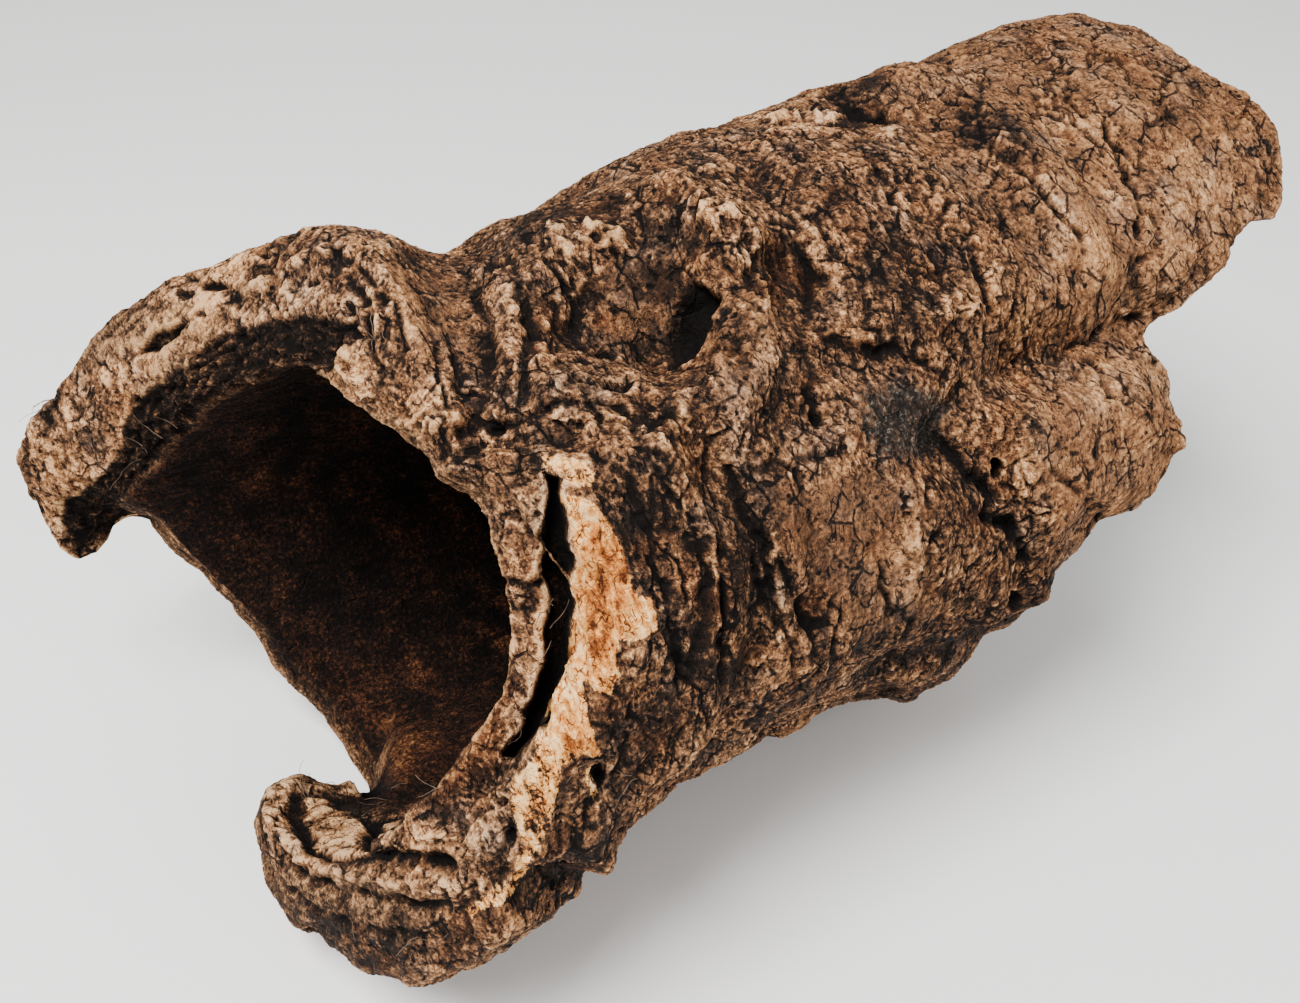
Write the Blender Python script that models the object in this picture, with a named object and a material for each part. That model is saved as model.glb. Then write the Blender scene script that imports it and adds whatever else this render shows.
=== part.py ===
"""A tube of cork bark lying on its side, in metres, +Z up.

The bark is one grown piece: a rough wall round a through hollow, with an oblique
mouth at -X, a bay in the lower edge of the mouth and a broken far end at +X.
The shape is laid out on a grid of stations along the tube and angles round it.
Angles are in degrees from the top (0), over the near side (90), the bottom (180)
and the far side (270). Lengths below are in millimetres.
"""
import math

import bpy
from mathutils import Vector

MM = 0.001

# Main sizes
BODY_RADIUS = 84.0
AXIS_HEIGHT = 84.0
WALL = 19.0
BODY_TAPER = 0.012
COLUMNS = 90
OUTER_ROWS = 44
INNER_ROWS = 8
LIP_ROWS = 6
END_ROWS = 2
# The angles lie closer together on the side that carries the knot and the ridges
FINE_SIDE_ANGLE = 50.0
FINE_SIDE_SHARE = 0.27
SECOND_CROWDING = 0.1

# Where the outer surface stops at the mouth: (angle, x)
MOUTH_OUTER = (
    (0, 24), (15, 25), (26, 22), (33, 20), (38, 33), (50, 37), (61, 42), (70, 31),
    (78, 21), (88, 12), (98, 3), (110, -9), (124, -20), (140, -27), (156, -32),
    (172, -34), (185, -30), (191, -2), (200, 3), (215, -4), (230, -11), (242, -18),
    (249, -24), (253, -42), (259, -52), (268, -55), (278, -50), (288, -38),
    (298, -25), (306, -14), (314, -3), (322, 9), (332, 18), (345, 23),
)
# Where the hollow starts at the mouth: (angle, x)
MOUTH_INNER = (
    (0, 8), (12, 11), (22, 18), (31, 25), (40, 24), (50, 22), (62, 19), (72, 15),
    (82, 5), (92, -6), (104, -14), (118, -20), (134, -24), (150, -27), (166, -27),
    (177, -20), (186, 2), (200, 4), (215, -3), (230, -10), (242, -17), (255, -24),
    (262, -27), (267, -33), (276, -27), (288, -19), (302, -12), (318, -8),
    (332, -3), (346, 3),
)
# Radius of the hollow at the mouth: (angle, radius)
MOUTH_BORE = (
    (0, 60), (16, 60), (26, 58), (32, 53), (38, 61), (50, 65), (64, 66), (78, 64),
    (92, 61), (106, 57), (120, 53), (138, 49), (156, 48), (172, 49), (184, 58),
    (192, 70), (210, 71), (240, 70), (258, 68), (272, 64), (290, 59), (310, 54),
    (330, 53), (346, 57),
)
# Where the bark stops at the far end: (angle, x)
FAR_EDGE = (
    (0, 253), (12, 252), (24, 256), (33, 251), (40, 241), (44, 225), (48, 209),
    (51, 195), (55, 191), (62, 195), (72, 193), (79, 183), (86, 169), (95, 160),
    (108, 160), (122, 167), (150, 183), (180, 198), (205, 212), (232, 225),
    (262, 237), (290, 248), (315, 258), (338, 260),
)
BORE_BLEND_LENGTH = 55.0

# Broad forms: (x, angle, half length, half width, height), lengths in mm
BROAD_FORMS = (
    (45, 330, 30, 60, -3),
    (74, 332, 24, 34, -7),
    (165, 335, 50, 50, 3),
    (240, 335, 34, 60, 6),
    (-42, 150, 16, 60, -9),
    (160, 108, 22, 24, -6),
    (-25, 285, 30, 45, 3),
    (75, 122, 34, 34, -11),
    (108, 115, 26, 40, -5),
    (134, 118, 14, 30, 4),
    (180, 118, 24, 34, -10),
    (40, 58, 20, 34, 3),
    (88, 62, 32, 26, 3),
    (152, 74, 34, 26, 6),
    (205, 70, 26, 30, -6),
    (222, 35, 34, 22, -2),
    (120, 30, 26, 22, 2),
    (0, 118, 26, 36, 2),
    (42, 122, 14, 26, -4),
    (60, 230, 45, 40, 3),
    (110, 265, 34, 34, -4),
    (160, 235, 40, 40, 3),
    (215, 255, 34, 40, -3),
    (30, 270, 26, 30, -4),
    (85, 185, 34, 34, -3),
    (156, 182, 45, 50, 5),
)

# Humps and pits: (x, angle, half length, half width, turn, height)
HUMPS = (
    (60, 19, 19, 17, 10, -13),
    (74, 27, 9, 10, 20, -12),
    (65, 5, 10, 5, 8, 5),
    (52, 8, 6, 5, 0, 4),
    (99, 26, 9, 9, 30, -7),
    (100, 17, 9, 6, 0, 3),
    (88, 53, 16, 9, -10, 2.5),
    (104, 69, 9, 14, 20, 4),
    (74, 60, 9, 11, 0, 2.5),
    (84, 80, 12, 9, 0, 2.5),
    (128, 40, 15, 10, 0, 2.5),
    (122, 18, 12, 9, 0, 2),
    (133, 357, 13, 6, 0, 3),
    (153, 354, 15, 7, 10, -5),
    (178, 350, 16, 9, 0, 2.5),
    (214, 12, 15, 12, 0, 2.5),
    (233, 22, 10, 10, 0, 2),
    (214, 33, 12, 9, 0, 2),
    (176, 62, 8, 12, 0, 3),
    (158, 92, 12, 9, 0, 3),
    (128, 92, 12, 9, 0, 3),
    (120, 106, 10, 9, 0, 4),
    (-4, 100, 16, 10, 30, 3),
    (-15, 135, 16, 10, 0, 3),
    (30, 100, 13, 11, 0, 2),
    (52, 96, 12, 9, 0, -3),
    (-44, 262, 9, 10, 0, 3),
    (-30, 286, 9, 9, 0, 3),
    (-6, 305, 10, 9, 0, 3),
    (20, 328, 11, 12, 0, 2),
    (92, 300, 20, 15, 20, 4),
    (140, 290, 15, 20, 0, -4),
    (180, 300, 22, 12, -20, 4),
    (70, 262, 15, 15, 0, -3),
    (215, 200, 20, 14, 10, 3),
    (130, 215, 22, 13, 0, 3),
    (20, 235, 18, 12, 0, 3),
    (225, 285, 18, 14, 0, 3),
)

# Long ridges (+) and furrows (-): height, half width, then the (x, angle) points
STROKES = (
    (-12, 13, ((46, 262), (52, 300), (52, 330), (40, 358), (32, 15), (25, 28))),
    (2, 8, ((24, 300), (29, 330), (27, 0), (25, 18))),
    (8, 7, ((90, 3), (94, 13), (92, 25), (84, 34), (72, 41), (56, 42))),
    (4, 5, ((47, 8), (42, 18), (42, 30), (50, 37))),
    (-7, 5, ((20, 33), (35, 35.5), (50, 37.5), (64, 43))),
    (3, 5, ((36, 36), (52, 44), (60, 56), (58, 70), (50, 84))),
    (-4, 4, ((62, 46), (68, 56), (66, 68), (60, 80), (56, 92))),
    (-3.5, 3, ((79, 58), (80, 66), (78, 74))),
    (-4.5, 5.5, ((118, 57), (123, 60), (132, 67), (137, 78), (140, 92))),
    (-4, 6, ((118, 55), (132, 51.5), (146, 50))),
    (-9, 7.5, ((150, 49.5), (168, 50), (188, 51))),
    (3, 5, ((108, 60), (113, 68), (110, 78), (100, 84))),
    (3, 6, ((140, 58), (165, 60), (180, 66))),
    (-4, 5, ((196, 8), (193, 22), (190, 36), (188, 46))),
    (-3.5, 5, ((172, 356), (163, 10), (161, 26), (168, 36), (176, 43))),
    (-3, 4, ((214, 350), (206, 10), (204, 26))),
    (3, 7, ((178, 12), (178, 26), (182, 38))),
    (3, 5, ((126, 8), (146, 12), (150, 24), (148, 38))),
    (-3, 4, ((100, 40), (112, 42), (132, 44))),
    (-3, 4, ((118, 352), (112, 4), (110, 16))),
    (-5, 5, ((-8, 90), (14, 100), (26, 112), (30, 130))),
    (3.5, 5, ((4, 92), (26, 92), (44, 88))),
    (-4, 6, ((100, 96), (120, 98), (146, 100))),
    (-4, 6, ((88, 340), (84, 310), (86, 280), (80, 240))),
    (-4, 6, ((196, 345), (204, 310), (198, 280), (204, 240), (196, 205))),
    (-5, 7, ((0, 222), (50, 212), (100, 205), (160, 202), (205, 205))),
    (4, 7, ((10, 250), (60, 246), (120, 240), (190, 245), (225, 250))),
    (-4, 6, ((130, 330), (150, 310), (146, 280), (152, 250), (146, 215))),
    (-4, 6, ((40, 135), (60, 150), (66, 175), (58, 200))),
    (4, 7, ((96, 130), (104, 150), (100, 178), (106, 200))),
)

# How far the collar of the knot leans over its hole: (x, angle, size, shift)
COLLAR_LEAN = (86, 25, 15, -6)

# Feet: (x, angle, half size, height), each cut flat where the piece rests
FEET = (
    (0, 179, 16, 6),
    (152, 159, 16, 10),
    (160, 206, 16, 10),
)
REST_HEIGHT = -1.0

LIP_BULGE = 4.5
# The free tip beside the bay is thin at its lower edge
TIP_ANGLE = 257.0
TIP_HALF_ANGLE = 9.0
TIP_HOOK = 1.8
# A deep split in the near lip, between its inner layer and its outer layer
SPLIT_FROM = 40.0
SPLIT_TO = 98.0
SPLIT_DEPTH = 9.0
SPLIT_PLACE = 0.42
SPLIT_HALF_WIDTH = 0.14
END_BULGE = 3.0

BARK_COLOUR = (0.235, 0.150, 0.088, 1.0)
BARK_ROUGHNESS = 0.9
BARK_METALLIC = 0.0


def along(profile, angle):
    """Smooth value of a closed profile of (angle, value) points."""
    count = len(profile)
    angle = angle % 360.0
    index = count - 1
    for i in range(count - 1):
        if profile[i][0] <= angle < profile[i + 1][0]:
            index = i
            break
    points = []
    for step in (-1, 0, 1, 2):
        turn, place = divmod(index + step, count)
        points.append((profile[place][0] + 360.0 * turn, profile[place][1]))
    (a0, v0), (a1, v1), (a2, v2), (a3, v3) = points
    span = a2 - a1
    t = (angle - a1) / span
    start_slope = (v2 - v0) / (a2 - a0)
    end_slope = (v3 - v1) / (a3 - a1)
    inner_slope = (v2 - v1) / span
    if start_slope * inner_slope <= 0.0:
        start_slope = 0.0
    if end_slope * inner_slope <= 0.0:
        end_slope = 0.0
    limit = 3.0 * abs(inner_slope)
    start_slope = max(-limit, min(limit, start_slope))
    end_slope = max(-limit, min(limit, end_slope))
    t2 = t * t
    t3 = t2 * t
    return (
        v1 * (2.0 * t3 - 3.0 * t2 + 1.0)
        + v2 * (3.0 * t2 - 2.0 * t3)
        + start_slope * span * (t3 - 2.0 * t2 + t)
        + end_slope * span * (t3 - t2)
    )


def around(angle, centre):
    """Distance in mm round the body from one angle to another, signed."""
    gap = (angle - centre + 180.0) % 360.0 - 180.0
    return math.radians(gap) * BODY_RADIUS


def bump(x, angle, place):
    """A smooth hump of height 1 with half sizes and a turn."""
    px, pa, half_length, half_width, turn = place
    dx = x - px
    dy = around(angle, pa)
    c = math.cos(math.radians(turn))
    s = math.sin(math.radians(turn))
    u = (dx * c + dy * s) / half_length
    v = (dy * c - dx * s) / half_width
    return math.exp(-(u * u + v * v))


def line_distance(x, angle, points):
    """Distance in mm from a place on the wall to a line of (x, angle) points."""
    best = 1e9
    for (ax, aa), (bx, ba) in zip(points, points[1:]):
        px = x - ax
        py = around(angle, aa)
        qx = bx - ax
        qy = around(ba, aa)
        t = (px * qx + py * qy) / (qx * qx + qy * qy)
        t = max(0.0, min(1.0, t))
        best = min(best, math.hypot(px - t * qx, py - t * qy))
    return best


def broad_radius(x, angle):
    """Radius of the body with its broad swellings and waists."""
    radius = BODY_RADIUS * (1.0 - BODY_TAPER * x / 100.0)
    for px, pa, half_length, half_width, height in BROAD_FORMS:
        radius += height * bump(x, angle, (px, pa, half_length, half_width, 0.0))
    return radius


def outer_radius(x, angle):
    """Radius of the outer surface with ridges, furrows, knot and feet."""
    radius = broad_radius(x, angle)
    for px, pa, half_length, half_width, turn, height in HUMPS:
        radius += height * bump(x, angle, (px, pa, half_length, half_width, turn))
    for height, half_width, points in STROKES:
        distance = line_distance(x, angle, points)
        if distance < 3.0 * half_width:
            radius += height * math.exp(-((distance / half_width) ** 2))
    for px, pa, half_size, height in FEET:
        radius += height * bump(x, angle, (px, pa, half_size, half_size, 0.0))
    return radius


def bore_radius(x, angle):
    """Radius of the hollow, which opens into the shape of the mouth."""
    inside = broad_radius(x, angle) - WALL
    start = along(MOUTH_INNER, angle)
    blend = math.exp(-max(0.0, x - start) / BORE_BLEND_LENGTH)
    return inside * (1.0 - blend) + along(MOUTH_BORE, angle) * blend


def place_on_wall(x, angle, radius):
    """Point in metres; the underside is cut flat where the piece rests."""
    lean_x, lean_angle, size, shift = COLLAR_LEAN
    if radius > BODY_RADIUS - WALL:
        x += shift * bump(x, angle, (lean_x, lean_angle, size, size, 0.0))
    turn = math.radians(angle)
    y = -radius * math.sin(turn)
    z = AXIS_HEIGHT + radius * math.cos(turn)
    return Vector((x * MM, y * MM, max(z, REST_HEIGHT) * MM))


def column_angle(step):
    """Angle of a column; the columns crowd together on the fine side."""
    even = 360.0 * step / COLUMNS
    once = math.sin(math.radians(even))
    twice = math.sin(math.radians(2.0 * even))
    pull = math.degrees(FINE_SIDE_SHARE * (once + SECOND_CROWDING * twice))
    return (FINE_SIDE_ANGLE + even - pull) % 360.0


def column_points(angle):
    """Closed loop of points at one angle: outside, far edge, hollow, lip."""
    mouth_outer = along(MOUTH_OUTER, angle)
    mouth_inner = along(MOUTH_INNER, angle)
    far = along(FAR_EDGE, angle)
    points = []
    for row in range(OUTER_ROWS + 1):
        x = mouth_outer + (far - mouth_outer) * row / OUTER_ROWS
        points.append(place_on_wall(x, angle, outer_radius(x, angle)))
    top = outer_radius(far, angle)
    inside = bore_radius(far, angle)
    for row in range(1, END_ROWS + 1):
        t = row / (END_ROWS + 1)
        x = far + END_BULGE * math.sin(math.pi * t)
        points.append(place_on_wall(x, angle, top + (inside - top) * t))
    for row in range(INNER_ROWS + 1):
        x = far + (mouth_inner - far) * row / INNER_ROWS
        points.append(place_on_wall(x, angle, bore_radius(x, angle)))
    edge = outer_radius(mouth_outer, angle)
    bore = bore_radius(mouth_inner, angle)
    hook = 1.0 + TIP_HOOK * math.exp(-((angle - TIP_ANGLE) / TIP_HALF_ANGLE) ** 2)
    for row in range(1, LIP_ROWS + 1):
        t = row / (LIP_ROWS + 1)
        swell = math.sin(math.pi * t) * (0.4 + 0.6 * t) / hook
        x = mouth_inner + (mouth_outer - mouth_inner) * t**hook - LIP_BULGE * swell
        x += split_depth(angle, t)
        points.append(place_on_wall(x, angle, bore + (edge - bore) * t))
    return points


def split_depth(angle, share):
    """How far the split goes into the lip at a share of the wall's thickness."""
    if not SPLIT_FROM < angle < SPLIT_TO:
        return 0.0
    length_share = math.sin(math.pi * (angle - SPLIT_FROM) / (SPLIT_TO - SPLIT_FROM))
    across = (share - SPLIT_PLACE) / SPLIT_HALF_WIDTH
    return SPLIT_DEPTH * length_share**0.6 * math.exp(-across * across)


def clear_scene():
    for item in list(bpy.data.objects):
        bpy.data.objects.remove(item, do_unlink=True)


def bark_material():
    material = bpy.data.materials.new("bark")
    material.use_nodes = True
    shader = material.node_tree.nodes["Principled BSDF"]
    shader.inputs["Base Color"].default_value = BARK_COLOUR
    shader.inputs["Roughness"].default_value = BARK_ROUGHNESS
    shader.inputs["Metallic"].default_value = BARK_METALLIC
    return material


def build_bark():
    """One closed wall, joined column to column round the tube."""
    loops = [column_points(column_angle(step)) for step in range(COLUMNS)]
    length = len(loops[0])
    corners = [point for loop in loops for point in loop]
    low = Vector([min(point[k] for point in corners) for k in range(3)])
    high = Vector([max(point[k] for point in corners) for k in range(3)])
    origin = Vector(((low.x + high.x) / 2.0, (low.y + high.y) / 2.0, low.z))
    faces = []
    for step in range(COLUMNS):
        here = step * length
        after = (step + 1) % COLUMNS * length
        for row in range(length):
            following = (row + 1) % length
            faces.append((here + row, after + row, after + following, here + following))
    mesh = bpy.data.meshes.new("bark")
    mesh.from_pydata([point - origin for point in corners], [], faces)
    mesh.validate()
    mesh.shade_smooth()
    mesh.materials.append(bark_material())
    bark = bpy.data.objects.new("bark", mesh)
    bpy.context.collection.objects.link(bark)
    return bark


clear_scene()
build_bark()
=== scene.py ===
import math
import random

import bmesh
import bpy
import numpy as np
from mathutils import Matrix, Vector, noise
from mathutils.bvhtree import BVHTree


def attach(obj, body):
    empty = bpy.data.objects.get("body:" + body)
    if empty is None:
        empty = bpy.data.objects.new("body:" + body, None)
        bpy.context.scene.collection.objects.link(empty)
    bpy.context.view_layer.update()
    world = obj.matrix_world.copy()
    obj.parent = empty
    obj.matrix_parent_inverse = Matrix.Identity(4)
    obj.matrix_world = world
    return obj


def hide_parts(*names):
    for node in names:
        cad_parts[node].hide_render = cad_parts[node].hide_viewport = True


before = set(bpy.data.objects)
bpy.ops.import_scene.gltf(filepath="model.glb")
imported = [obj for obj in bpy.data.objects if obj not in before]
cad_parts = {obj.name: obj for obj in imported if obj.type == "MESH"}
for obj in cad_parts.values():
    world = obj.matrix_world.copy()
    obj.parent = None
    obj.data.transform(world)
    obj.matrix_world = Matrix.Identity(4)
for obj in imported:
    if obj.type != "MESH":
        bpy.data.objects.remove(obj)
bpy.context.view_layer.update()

# Camera. It stands at the mouth end on the near side and looks down along the tube.
# Its place and lens were fitted to the outline of the bark in the picture.
MM = 0.001
PHOTO_WIDTH = 1300
PHOTO_HEIGHT = 1003
FOCAL_PIXELS = 1250.0
camera_data = bpy.data.cameras.new("camera")
camera_data.sensor_width = 36.0
camera_data.lens = camera_data.sensor_width * FOCAL_PIXELS / PHOTO_WIDTH
camera_data.clip_start = 10 * MM
camera_data.dof.use_dof = False
camera = bpy.data.objects.new("camera", camera_data)
camera.location = Vector((-147.67, -219.02, 292.73)) * MM
camera.rotation_euler = (math.radians(50.0), 0.0, math.radians(-31.0))
bpy.context.collection.objects.link(camera)
bpy.context.scene.camera = camera
camera_turn = camera.rotation_euler.to_matrix()


def photo_ray(px, py):
    """Direction from the camera through a pixel of the picture."""
    across = (px - PHOTO_WIDTH / 2) / FOCAL_PIXELS
    up = (PHOTO_HEIGHT / 2 - py) / FOCAL_PIXELS
    return (camera_turn @ Vector((across, up, -1.0))).normalized()


# Bark wall, shape. One grown tube of cork bark: a corky, cracked outside, a torn lip
# and a bare inner face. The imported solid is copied, joined up and made smooth, and
# its skin is then moved by growth rings, plates, cracks, flakes and pits.
AXIS_Z = 85.0  # height of the tube's middle line, mm
MOUTH_SHIFT = 103.86  # from the mouth's plane to x = 0, mm
JOIN_ANGLE = math.radians(80.0)
ROUNDING = 3


def joined_copy(solid):
    """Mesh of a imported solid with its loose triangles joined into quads."""
    joined = bmesh.new()
    joined.from_mesh(solid.data)
    bmesh.ops.remove_doubles(joined, verts=joined.verts, dist=0.01 * MM)
    bmesh.ops.join_triangles(
        joined, faces=joined.faces,
        angle_face_threshold=JOIN_ANGLE, angle_shape_threshold=JOIN_ANGLE)
    mesh = bpy.data.meshes.new("whole_wall")
    joined.to_mesh(mesh)
    joined.free()
    return mesh


whole_wall = bpy.data.objects.new("whole_wall", joined_copy(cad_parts["bark"]))
bpy.context.collection.objects.link(whole_wall)
rounding = whole_wall.modifiers.new("rounding", "SUBSURF")
rounding.levels = ROUNDING
rounding.render_levels = ROUNDING
skin = bmesh.new()
skin.from_object(whole_wall, bpy.context.evaluated_depsgraph_get())
wall_mesh = bpy.data.meshes.new("wall_skin")
skin.to_mesh(wall_mesh)
skin.free()
bpy.data.objects.remove(whole_wall)

point_count = len(wall_mesh.vertices)
places = np.empty(point_count * 3)
wall_mesh.vertices.foreach_get("co", places)
places = places.reshape(-1, 3) / MM


DOT_SPACING = 3


def dotted(points):
    """Points every few pixels along a line drawn on the picture."""
    found = []
    for start, end in zip(points, points[1:]):
        steps = max(2, int(math.dist(start, end) / DOT_SPACING))
        found += [Vector(start).lerp(Vector(end), step / steps) for step in range(steps + 1)]
    return np.array(found)


def thin_line(values, width):
    """1 where the values are 0, falling away on both sides."""
    return np.exp(-((values / width) ** 2))


def nearness(line, width, base):
    """1 on a line of points, falling to 0 about two widths away from it."""
    close = np.zeros(point_count)
    low = line.min(axis=0) - 3 * width
    high = line.max(axis=0) + 3 * width
    near = np.flatnonzero(((base > low) & (base < high)).all(axis=1))
    gap = np.full(len(near), 1e9)
    for place in line:
        gap = np.minimum(gap, np.linalg.norm(base[near] - place, axis=1))
    close[near] = thin_line(gap, width)
    return close


def on_picture():
    """Where each point lies in the picture, in pixels."""
    turned = (places - camera_place) @ np.array(camera_turn)
    return np.column_stack((
        PHOTO_WIDTH / 2 - FOCAL_PIXELS * turned[:, 0] / turned[:, 2],
        PHOTO_HEIGHT / 2 + FOCAL_PIXELS * turned[:, 1] / turned[:, 2]))


# Small pulls that bring the outline onto the picture's: half width of each pull, how far
# it goes across and down, and its line, all in pixels
PULLS = (
    (20, -2, 25, ((60, 535), (88, 540))),
    (18, -9, 0, ((32, 405), (28, 455))),
    (20, 6, -23, ((118, 536), (140, 542))),
    (16, 5, -4, ((195, 580), (240, 640))),
    (16, -4, 3, ((275, 668), (335, 735))),
    (16, -3, -3, ((97, 345), (130, 314))),
    (16, -1, -3, ((170, 285), (245, 254))),
    (18, 1, 3, ((270, 240), (335, 226))),
    (25, 0, -13, ((395, 250), (445, 262))),
    (20, 1, 2, ((560, 190), (650, 146))),
    (20, 0, -4, ((800, 100), (870, 84))),
    (24, -3, -10, ((900, 72), (955, 58))),
    (24, 0, -10, ((990, 36), (1070, 24))),
    (16, 4, -4, ((1240, 98), (1268, 128))),
    (12, 5, 6, ((1272, 195), (1266, 208))),
    (12, -5, -6, ((1250, 228), (1240, 236))),
    (14, 3, 4, ((1216, 262), (1176, 300))),
    (14, -5, 0, ((1152, 345), (1172, 395))),
    (20, 7, 4, ((1170, 440), (1150, 485))),
    (26, -17, -15, ((1105, 535), (1075, 580))),
    (14, 4, 4, ((1046, 598), (1012, 620))),
    (16, 6, 9, ((596, 858), (575, 880))),
    (26, -8, -11, ((985, 650), (935, 695))),
    (24, 0, -14, ((880, 708), (775, 745))),
    (20, -3, -5, ((710, 774), (628, 838))),
    (24, 7, 9, ((592, 862), (540, 908), (470, 952))),
    (16, 2, 9, ((438, 970), (410, 982))),
    (20, 3, -4, ((266, 870), (290, 915))),
    (22, 5, -14, ((320, 948), (350, 968), (382, 982))),
    (18, -11, -11, ((270, 830), (274, 805), (300, 780))),
    (32, 22, 32, ((345, 752), (350, 762))),
)
camera_place = np.array(camera.location) / MM
picture = on_picture()
moves = np.zeros_like(places)
for width, across, down, points in PULLS:
    step = (np.array(camera_turn) @ (across, -down, 0.0)) / FOCAL_PIXELS
    moves += nearness(dotted(points), width, picture)[:, None] * step
places += moves * np.linalg.norm(places - camera_place, axis=1)[:, None]
wall_mesh.vertices.foreach_set("co", (places * MM).ravel())
wall_mesh.update()
pulled_skin = bmesh.new()
pulled_skin.from_mesh(wall_mesh)
smooth_shape = BVHTree.FromBMesh(pulled_skin)
pulled_skin.free()

edge_ends = np.empty(len(wall_mesh.edges) * 2, dtype=int)
wall_mesh.edges.foreach_get("vertices", edge_ends)
first_end, second_end = edge_ends.reshape(-1, 2).T
edge_counts = np.bincount(edge_ends, minlength=point_count)


def neighbour_mean(values, rounds):
    """Average of each point's place with its neighbours, some rounds over."""
    spread = values.T.copy()
    for _ in range(rounds):
        for row in spread:
            total = np.bincount(first_end, weights=row[second_end], minlength=point_count)
            total += np.bincount(second_end, weights=row[first_end], minlength=point_count)
            row[:] = (total / edge_counts + row) / 2
    return spread.T


def point_normals():
    """Unit normal of the skin at every point."""
    normals = np.empty(point_count * 3)
    wall_mesh.vertex_normals.foreach_get("vector", normals)
    return normals.reshape(-1, 3)


def ease(low, high, values):
    """Smooth step from 0 at low to 1 at high."""
    t = np.clip((values - low) / (high - low), 0.0, 1.0)
    return t * t * (3.0 - 2.0 * t)


normals = point_normals()
stations = places[:, 0] + MOUTH_SHIFT
radii = np.hypot(places[:, 1], places[:, 2] - AXIS_Z)
outward = np.column_stack((
    np.zeros(point_count), places[:, 1] / radii, (places[:, 2] - AXIS_Z) / radii))
facing_out = (normals * outward).sum(axis=1)
turns = np.arctan2(-places[:, 1], places[:, 2] - AXIS_Z)

outside = ease(0.05, 0.55, facing_out)
inside = ease(0.15, 0.6, -facing_out)
resting = ease(3.0, 1.0, places[:, 2])

# Which points the camera sees, and where they lie in the picture. A point may lie
# a little behind the first surface that its ray meets, in mm.
SEEN_SLACK = 2.5
to_camera = camera_place - places
reach = np.linalg.norm(to_camera, axis=1)
looks_back = (normals * to_camera).sum(axis=1) / reach > 0.02
picture = on_picture()
seen = np.zeros(point_count, dtype=bool)
ways = -to_camera / reach[:, None]
for index in np.flatnonzero(looks_back):
    hit = smooth_shape.ray_cast(camera.location, ways[index])
    seen[index] = hit[0] is None or hit[3] / MM > reach[index] - SEEN_SLACK


def grown(pattern, size, shift=0.0, base=None):
    """A noise pattern at every point; size is its grain in mm along three ways."""
    scaled = (places if base is None else base) / np.array(size) + shift
    return np.array([pattern(place) for place in scaled.tolist()])


def crumbs(place):
    """Rough crumbly noise, about -1 to 1."""
    return noise.fractal(place, 0.8, 2.1, 4)


def ridges(place):
    """Noise with sharp crests at 1."""
    return 1.0 - 2.0 * abs(noise.noise(place))


def plate_edge(place):
    """0 on the edges between random plates, growing inwards."""
    near = noise.voronoi(place)[0]
    return near[1] - near[0]


# Small shifts that make drawn lines and edges ragged, in mm and in pixels
RAGGED_MM = 1.3
RAGGED_PIXELS = 5.0
shake = np.column_stack([grown(noise.noise, (4.5, 4.5, 4.5), k) for k in (11.3, 12.7, 13.1)])
shaken = places + RAGGED_MM * shake
shaken_picture = picture + RAGGED_PIXELS * shake[:, :2]


def patch(outline, blur):
    """1 on the seen points inside an outline drawn on the picture, 0 outside it."""
    corners = np.array(outline, dtype=float)
    low = corners.min(axis=0) - blur
    high = corners.max(axis=0) + blur
    near = np.flatnonzero(seen & ((shaken_picture > low) & (shaken_picture < high)).all(axis=1))
    spots = shaken_picture[near]
    inner = np.zeros(len(near), dtype=bool)
    gap = np.full(len(near), 1e9)
    for start, end in zip(corners, np.roll(corners, -1, axis=0)):
        step = end - start
        away = spots - start
        share = np.clip(away @ step / (step @ step), 0.0, 1.0)
        gap = np.minimum(gap, np.hypot(*(away - share[:, None] * step).T))
        if step[1] != 0:
            crosses = (spots[:, 1] > start[1]) != (spots[:, 1] > end[1])
            inner ^= crosses & (away[:, 0] < step[0] * away[:, 1] / step[1])
    cover = np.zeros(point_count)
    cover[near] = ease(-blur, blur, np.where(inner, gap, -gap))
    return cover


def traced(points):
    """Places in mm where a line drawn on the picture lies on the bark."""
    found = []
    for px, py in dotted(points):
        hit = smooth_shape.ray_cast(camera.location, photo_ray(px, py))[0]
        if hit is not None:
            found.append(hit / MM)
    return np.array(found)


def oval(centre_x, centre_y, half_x, half_y):
    """Outline of an upright oval drawn on the picture."""
    corners = [math.tau * k / 10 for k in range(10)]
    return [(centre_x + half_x * math.cos(a), centre_y + half_y * math.sin(a)) for a in corners]


# The free tip of the upper lip and the curl of the lower one are rough on both sides
ROUGH_LIP = (
    ((15, 430), (55, 385), (110, 350), (160, 345), (142, 395), (126, 450), (100, 500), (94, 565),
     (50, 555), (20, 500)),
    ((250, 840), (262, 790), (290, 770), (322, 778), (350, 792), (362, 806), (400, 808), (440, 800),
     (500, 776), (530, 760), (530, 860), (440, 880), (330, 870), (280, 870)),
)
for outline in ROUGH_LIP:
    rough = patch(outline, 6)
    outside = np.maximum(outside, rough)
    inside *= 1 - rough
face = (1 - outside) * (1 - inside)

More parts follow.
